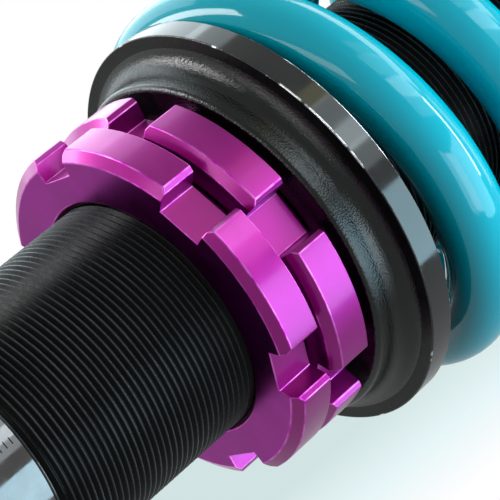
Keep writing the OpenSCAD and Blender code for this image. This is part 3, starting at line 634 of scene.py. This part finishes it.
piece("eye_bush_moulded", placed(turned([
    (10.05, -19), (12.1, -19), *arc(14.02, -19, 1.92, 180, 0, 10), (17.98, -19), (17.98, 19),
    *arc(14.02, 19, 1.92, 0, -180, 10), (12.1, 19), (10.05, 19)], 96), turn=math.pi / 2, axis="X"),
    "damper", [RUBBER], ["eye_bush"], 0.3)
piece("bolt_sleeve_turned", placed(turned([
    (6.1, -21.4), (6.7, -22), (9.2, -22), (10, -21.2), (10, 21.2), (9.2, 22), (6.7, 22),
    (6.1, 21.4)], 96), turn=math.pi / 2, axis="X"),
    "bolt_sleeve", [BRIGHT], ["bolt_sleeve"], 0.15)
plug = cut(turned([(0, 0), (3.98, 0), (3.98, 7.5), (3.5, 8), (0, 8)], 48),
           prism(6, 2 / math.cos(math.pi / 6), 4, 10, math.pi / 2))
piece("gas_plug_turned", placed(plug, (16.5, 0, 34), math.pi / 2, "Y"), "damper", [BRIGHT],
      ["gas_plug"], 0.15)

# Gland: a nut with four pin spanner holes, and the lip that wipes the rod
gland = turned([(15.02, 266), (22.98, 266), (22.98, 278.02), (25, 278.02), (25, 283), (24, 284),
                (13.8, 284), (13.2, 283.4), (13.2, 273.5), (15.02, 273)], 128)
pin_holes = [placed(prism(32, 2, 280, 290), (19.6 * math.cos(a), 19.6 * math.sin(a), 0))
             for a in (math.radians(45 + 90 * i) for i in range(4))]
piece("gland_nut_turned", cut(gland, *pin_holes), "damper", [BLACK_OXIDE],
      ["gland_nut"], 0.25)
piece("dust_wiper_moulded", turned([
    (11.4, 279), (13.18, 279), (13.18, 283.8), (11.2, 285.2), (10.05, 285.2), (11.2, 283)], 96),
    "damper", [RUBBER], ["dust_wiper"], 0.12)

# Rod, and the bump stop and bellows that hang on it
piece("piston_rod_ground", turned([
    (ROD_HOLE_R, 204.7), (5, 204.7), (6, 205.7), (6, 239.7), (ROD_R, 239.7), (ROD_R, SHOULDER),
    (ROD_TOP_R, SHOULDER), (ROD_TOP_R, ROD_END - 1), (6, ROD_END), (ROD_HOLE_R, ROD_END)], 128),
    "rod", [CHROME], ["piston_rod"], 0.3)
stop = piece("bump_stop_foamed", turned([
    (10.3, 331.5), (16, 331.5), (19, 336.5), *arc(21.571, 344.83, 2.857, 245, 102, 10),
    *arc(21.571, 358.17, 2.857, 258, 102, 10), (21, SHOULDER), (10.3, SHOULDER)], 96),
    "rod", [FOAM], ["bump_stop"], 1.2, segments=4)
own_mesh(stop)
flanks = 18
fold_z = [274.4 + 94.11 * i / flanks for i in range(flanks + 1)]
inside = [(28.5 if i % 2 else 26.4, z) for i, z in enumerate(fold_z)]
boot = piece("dust_boot_bellows", turned([
    (25.05, 266.4), (25.05, 272.84), *inside, (26.4, 371.48), (31.2, 371.48), (31.2, 369.03),
    *[(r + 1.3, z) for r, z in reversed(inside)], (27.26, 272.84), (27.26, 266.4)], 128),
    "rod", [RUBBER], ["dust_boot"], 0.55, segments=4)
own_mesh(boot)

# Upper seat and the stack that clamps the pivot ball
piece("upper_seat_turned", turned([
    (CLAMPED_BORE, SHOULDER), (31.4, SHOULDER), (31.4, 363.5), (33.2, 363.5), (34.8, 365.5),
    (34.8, SHOULDER), (48.7, SHOULDER), (49.5, 372.3), (49.5, 376), (48, 377.5), (27, 377.5),
    *arc(27, 385.5, 8, 270, 180, 10), (18.2, 382.5), (CLAMPED_BORE, 382.5)], 160),
    "rod", [SATIN_BLACK], ["upper_seat"], 0.4, segments=3)
piece("lower_spacer_turned", turned([
    (CLAMPED_BORE, 382.5), (15, 382.5), (15, 384.5), (9.46, 393.5), (9.46, 396.5),
    (CLAMPED_BORE, 396.5)], 96),
    "rod", [ALUMINIUM], ["lower_spacer"], 0.3)
piece("pivot_ball_ground", turned([
    (CLAMPED_BORE, 396.5), *arc(0, BALL_Z, 13.5, -41.8, 41.8, 24), (CLAMPED_BORE, 414.5)], 128),
    "rod", [CHROME], ["pivot_ball"], 0.3)
piece("upper_spacer_turned", turned([
    (CLAMPED_BORE, 414.5), (9.46, 414.5), (9.46, 419.5), (12.46, 422.5),
    (CLAMPED_BORE, 422.5)], 96),
    "rod", [ALUMINIUM], ["upper_spacer"], 0.25)
nut = worked(prism(6, 10.5 / math.cos(math.pi / 6), 422.5, 433.5, math.pi / 2), [
    ("BOOLEAN", dict(operation="INTERSECT", solver="EXACT",
                     object=turned([(0, 422), (21.5, 422), (10.44, 434), (0, 434)], 96))),
    ("BOOLEAN", dict(operation="UNION", solver="EXACT",
                     object=turned([(0, 422.5), (12.5, 422.5), (12.5, 424.5), (0, 424.5)], 96)))])
piece("top_nut_forged", cut(nut, turned([
    (0, 422), (8, 422), (CLAMPED_BORE, 423), (CLAMPED_BORE, 432.8), (8.2, 434), (0, 434)], 64)),
    "rod", [BRIGHT], ["top_nut"], 0.2)

# Top mount: race and its spring ring in a scalloped plate, and three pressed-in studs
piece("ball_race_ground", turned([
    (18.98, 398.5), (18.98, 412.5), *arc(0, BALL_Z, 15.1, 27.6, -27.6, 16)], 128),
    "top_plate", [BRIGHT], ["ball_race"], 0.3)
clip_gap = math.asin(3 / 18.25)
piece("race_clip_sprung", placed(turned([
    (16.5, 412.52), (20, 412.52), (20, 413.98), (16.5, 413.98)], 120, TURN - 2 * clip_gap),
    turn=clip_gap), "top_plate", [BLACK_OXIDE], ["race_clip"], 0.2)
plate = turned([
    (17.4, 397), (23.8, 397), (25, 398.2), (25, PLATE_LOW), (58.8, PLATE_LOW), (60, 402.7),
    (60, 408.3), (58.8, PLATE_TOP), (25, PLATE_TOP), (25, 413.8), (23.8, 415), (19.4, 415),
    (19, 414.6), (19, 414), (20.2, 414), (20.2, 412.5), (19, 412.5), (19, 398.5),
    (17.4, 398.5)], 192)
scallops, stud_holes = [], []
for i in range(3):
    out = Vector((0, 1, 0))
    out.rotate(Matrix.Rotation(TURN * i / 3, 3, "Z"))
    scallops.append(placed(prism(160, SCALLOP_R, 395, 412), -SCALLOP_CIRCLE * out))
    stud_holes.append(placed(prism(48, 5.62, 395, 412), STUD_CIRCLE * out))
piece("top_plate_milled", cut(plate, *scallops, *stud_holes), "top_plate", [PURPLE, PURPLE_WORN_EDGE_SHEEN],
      ["top_plate"], 0.45, EDGE_COAT, 3)
studs = []
for i in range(3):
    stud = joined(turned([(0, 398.5), (7.4, 398.5), (8, 399.1), (8, 401.48), (5.6, 401.48),
                          (5.6, 409.4), (5.2, PLATE_TOP), (0, PLATE_TOP)], 64),
                  threaded(4.1, 5, 1.5, 409.3, 439.5, 0, 40))
    studs.append(placed(placed(stud, (0, STUD_CIRCLE, 0)), turn=TURN * i / 3))
piece("plate_studs_rolled", joined(*studs), "top_plate", [ZINC], ["plate_studs"],
      edge=0)

# Adjuster knob with finger grips and a stepped crown
knob = turned([(0, KNOB_LOW + 6), (2.52, KNOB_LOW + 6), (2.52, KNOB_LOW), (10, KNOB_LOW),
               (11, KNOB_LOW + 1), (11, KNOB_LOW + 11.5), (9.5, KNOB_LOW + KNOB_H),
               (6.5, KNOB_LOW + KNOB_H), (5.7, KNOB_LOW + KNOB_H - 0.8),
               (0, KNOB_LOW + KNOB_H - 0.8)], 120)
grips = [placed(prism(32, 1.5, KNOB_LOW + 2.5, 460), (11.6, 0, 0)) for i in range(12)]
for i, grip in enumerate(grips):
    placed(grip, turn=TURN * i / 12)
piece("adjuster_knob_milled", cut(knob, *grips), "adjuster", [PURPLE, PURPLE_WORN_EDGE_SHEEN],
      ["adjuster_knob"], 0.25, EDGE_COAT)

# Inner pieces whose solids already have their shape
CAD_COATS = {
    "base_seal": RUBBER, "floating_piston": ALUMINIUM, "floating_seal": RUBBER, "piston": BRIGHT,
    "piston_band": SLIDE_PLASTIC, "compression_shims": BRIGHT, "rebound_shims": BRIGHT,
    "piston_nut": BRIGHT, "backing_washer": BRIGHT, "top_out_ring": PALE_PLASTIC,
    "rod_guide": BRONZE, "guide_bush": SLIDE_PLASTIC, "rod_seal": RUBBER, "ball_liner": LINER,
    "adjuster_needle": BRIGHT}
for node, coat in CAD_COATS.items():
    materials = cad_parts[node].data.materials
    materials.clear()
    materials.append(coat)

# ---------------------------------------------------------------- floor, lights, camera

# A paper disc just under the eye. The camera stands lower, and looks up past the disc's edge. Part
# of what the camera sees of it is a glow, and the rest is paper that takes the shadow.
FLOOR_Z, FLOOR_RADIUS = -0.0235, 0.25
FLOOR_GLOW, GLOW_SHARE = 0.72, 0.75

floor = bpy.data.objects.new("floor", bpy.data.meshes.new("floor"))
bm = bmesh.new()
bmesh.ops.create_circle(bm, cap_ends=True, segments=96, radius=FLOOR_RADIUS)
bmesh.ops.translate(bm, vec=(0, 0, FLOOR_Z), verts=bm.verts)
bm.to_mesh(floor.data)
bm.free()
scene.collection.objects.link(floor)
floor.visible_shadow = False
floor.visible_glossy = False
floor.visible_diffuse = False
paper = bpy.data.materials.new("floor_paper")
paper.use_nodes = True
tree = paper.node_tree
matt = tree.nodes["Principled BSDF"]
matt.inputs["Base Color"].default_value = (0.85, 0.86, 0.86, 1)
matt.inputs["Roughness"].default_value = 0.7
rays = tree.nodes.new("ShaderNodeLightPath")
glow = tree.nodes.new("ShaderNodeEmission")
glow.inputs["Color"].default_value = (1, 1, 1, 1)
glow.inputs["Strength"].default_value = FLOOR_GLOW
share = tree.nodes.new("ShaderNodeMath")
share.operation = "MULTIPLY"
share.inputs[1].default_value = GLOW_SHARE
blend = tree.nodes.new("ShaderNodeMixShader")
tree.links.new(rays.outputs["Is Camera Ray"], share.inputs[0])
tree.links.new(share.outputs[0], blend.inputs[0])
tree.links.new(matt.outputs[0], blend.inputs[1])
tree.links.new(glow.outputs[0], blend.inputs[2])
tree.links.new(blend.outputs[0], tree.nodes["Material Output"].inputs["Surface"])
floor.data.materials.append(paper)

# The camera's right, down and forward, its place in metres, and its lens in millimetres
RIGHT = Vector((0.644043, -0.390455, 0.657840))
DOWN = Vector((0.764977, 0.323812, -0.556737))
FORWARD = Vector((0.004365, 0.861795, 0.507238))
CAMERA_PLACE = (0, -0.45605, -0.096377)
FOCAL_LENGTH, SENSOR_WIDTH = 184.857, 36

lens = bpy.data.cameras.new("camera")
lens.lens = FOCAL_LENGTH
lens.sensor_width = SENSOR_WIDTH
lens.clip_start, lens.clip_end = 0.01, 20
camera = bpy.data.objects.new("camera", lens)
turn = Matrix((RIGHT, -DOWN, -FORWARD)).transposed()
camera.matrix_world = Matrix.Translation(CAMERA_PLACE) @ turn.to_4x4()
scene.collection.objects.link(camera)
scene.camera = camera


# Every softbox is that far from the point that it faces, in metres
LAMP_DISTANCE, LIT_POINT = 0.9, Vector((0, 0, 0.17))


def panel(name, azimuth, elevation, width, height, radiance, colour):
    """A softbox in the direction of an azimuth, from -Y towards +X, and an elevation, with its size
    in degrees and its brightness as a share of white."""
    a, e = math.radians(azimuth), math.radians(elevation)
    way = Vector((math.sin(a) * math.cos(e), -math.cos(a) * math.cos(e), math.sin(e)))
    lamp = bpy.data.lights.new(name, "AREA")
    lamp.shape = "RECTANGLE"
    lamp.size = 2 * LAMP_DISTANCE * math.tan(math.radians(width / 2))
    lamp.size_y = 2 * LAMP_DISTANCE * math.tan(math.radians(height / 2))
    lamp.energy = radiance * math.pi * lamp.size * lamp.size_y
    lamp.color = colour
    obj = bpy.data.objects.new(name, lamp)
    obj.matrix_world = (Matrix.Translation(LIT_POINT + way * LAMP_DISTANCE)
                        @ way.to_track_quat("Z", "Y").to_matrix().to_4x4())
    scene.collection.objects.link(obj)


COOL, BLUE, AMBER = (0.8, 0.95, 1.0), (0.52, 0.85, 1.0), (1.0, 0.96, 0.45)
WHITE = (1, 1, 1)
panel("grey_softbox_left", -20, 26, 14, 46, 1.5, COOL)
panel("grey_softbox_middle", -6, 26, 11, 46, 4.3, COOL)
panel("grey_softbox_right", 5, 26, 12, 46, 1.5, COOL)
panel("amber_card", -32, 30, 9, 34, 0.8, AMBER)
panel("blue_softbox", 46, 26, 36, 34, 5.0, BLUE)
panel("blue_softbox_front", 45, 0, 30, 18, 5.0, COOL)
panel("blue_softbox_low", 46, -15, 32, 12, 2.6, COOL)
panel("bright_strip", 27, 49, 34, 6, 17.0, WHITE)
panel("overhead_strip", 42, 68, 34, 9, 2.0, WHITE)
panel("overhead_left", -52, 60, 50, 16, 4.0, WHITE)
panel("side_softbox", -130, 31, 44, 32, 2.8, COOL)
panel("side_softbox_wing", -98, 31, 20, 32, 1.5, COOL)
panel("side_softbox_low", -130, 2, 50, 26, 1.8, COOL)
panel("low_strip", -108, -27, 44, 13, 11.0, WHITE)
panel("under_strip", -72, -66, 50, 12, 2.6, WHITE)

world = bpy.data.worlds.new("studio")
scene.world = world
world.use_nodes = True
tree = world.node_tree
coords = tree.nodes.new("ShaderNodeTexCoord").outputs["Generated"]


def along(direction, low, high, easing="SMOOTHSTEP"):
    """How far the view direction lies along a direction, from 0 at low to 1 at high."""
    dot = tree.nodes.new("ShaderNodeVectorMath")
    dot.operation = "DOT_PRODUCT"
    tree.links.new(coords, dot.inputs[0])
    dot.inputs[1].default_value = direction
    span = tree.nodes.new("ShaderNodeMapRange")
    span.interpolation_type = easing
    span.inputs["From Min"].default_value = low
    span.inputs["From Max"].default_value = high
    tree.links.new(dot.outputs["Value"], span.inputs["Value"])
    return span.outputs["Result"]


def tinted(factor, *colours):
    """Colours spread evenly along the factor."""
    ramp = tree.nodes.new("ShaderNodeValToRGB")
    bar = ramp.color_ramp.elements
    while len(bar) < len(colours):
        bar.new(0.5)
    for i, (element, colour) in enumerate(zip(bar, colours)):
        element.position = i / (len(colours) - 1)
        element.color = (*colour, 1)
    tree.links.new(factor, ramp.inputs["Fac"])
    return ramp.outputs["Color"]


# Diffuse rays light the object from a dim room with one bright side. All other rays see the same
# side in a pale surround, and straight behind the object a backdrop with a painted shadow of the
# object in stripes, tinted teal as a painted reflection of the spring.
BRIGHT_SIDE, DIM = (0.85, 0.87, 0.87), (0.03, 0.032, 0.034)
PALE, SHADE = (0.51, 0.53, 0.53), (0.64, 0.77, 0.77)
side = along(Vector((-0.42, 0.9, -0.1)), 0.55, 0.9)
room = tinted(side, DIM, BRIGHT_SIDE)
surround = tinted(side, PALE, BRIGHT_SIDE)
# Beside the object's lower right edge the backdrop carries a painted shadow, tinted teal as a
# painted reflection of the spring.
across = (RIGHT * 0.557 + DOWN * 0.658).normalized()
painted_shadow_band = tinted(along(across, -0.01, 0.125, "LINEAR"), WHITE, (0.8, 0.88, 0.88), SHADE, SHADE,
              SHADE, (0.8, 0.92, 0.94), WHITE)
backdrop = tree.nodes.new("ShaderNodeMix")
backdrop.data_type = "RGBA"
tree.links.new(along(FORWARD, 0.978, 0.99), backdrop.inputs[0])
tree.links.new(surround, backdrop.inputs[6])
tree.links.new(painted_shadow_band, backdrop.inputs[7])
sky = tree.nodes["Background"]
tree.links.new(room, sky.inputs["Color"])
seen = tree.nodes.new("ShaderNodeBackground")
tree.links.new(backdrop.outputs[2], seen.inputs["Color"])
rays = tree.nodes.new("ShaderNodeLightPath")
shown = rays.outputs["Is Camera Ray"]
for kind in ("Is Glossy Ray", "Is Transmission Ray"):
    either = tree.nodes.new("ShaderNodeMath")
    either.operation = "MAXIMUM"
    tree.links.new(shown, either.inputs[0])
    tree.links.new(rays.outputs[kind], either.inputs[1])
    shown = either.outputs[0]
pick = tree.nodes.new("ShaderNodeMixShader")
tree.links.new(shown, pick.inputs[0])
tree.links.new(sky.outputs[0], pick.inputs[1])
tree.links.new(seen.outputs[0], pick.inputs[2])
tree.links.new(pick.outputs[0], tree.nodes["World Output"].inputs["Surface"])
scene.view_settings.view_transform = "Standard"

bpy.context.view_layer.update()
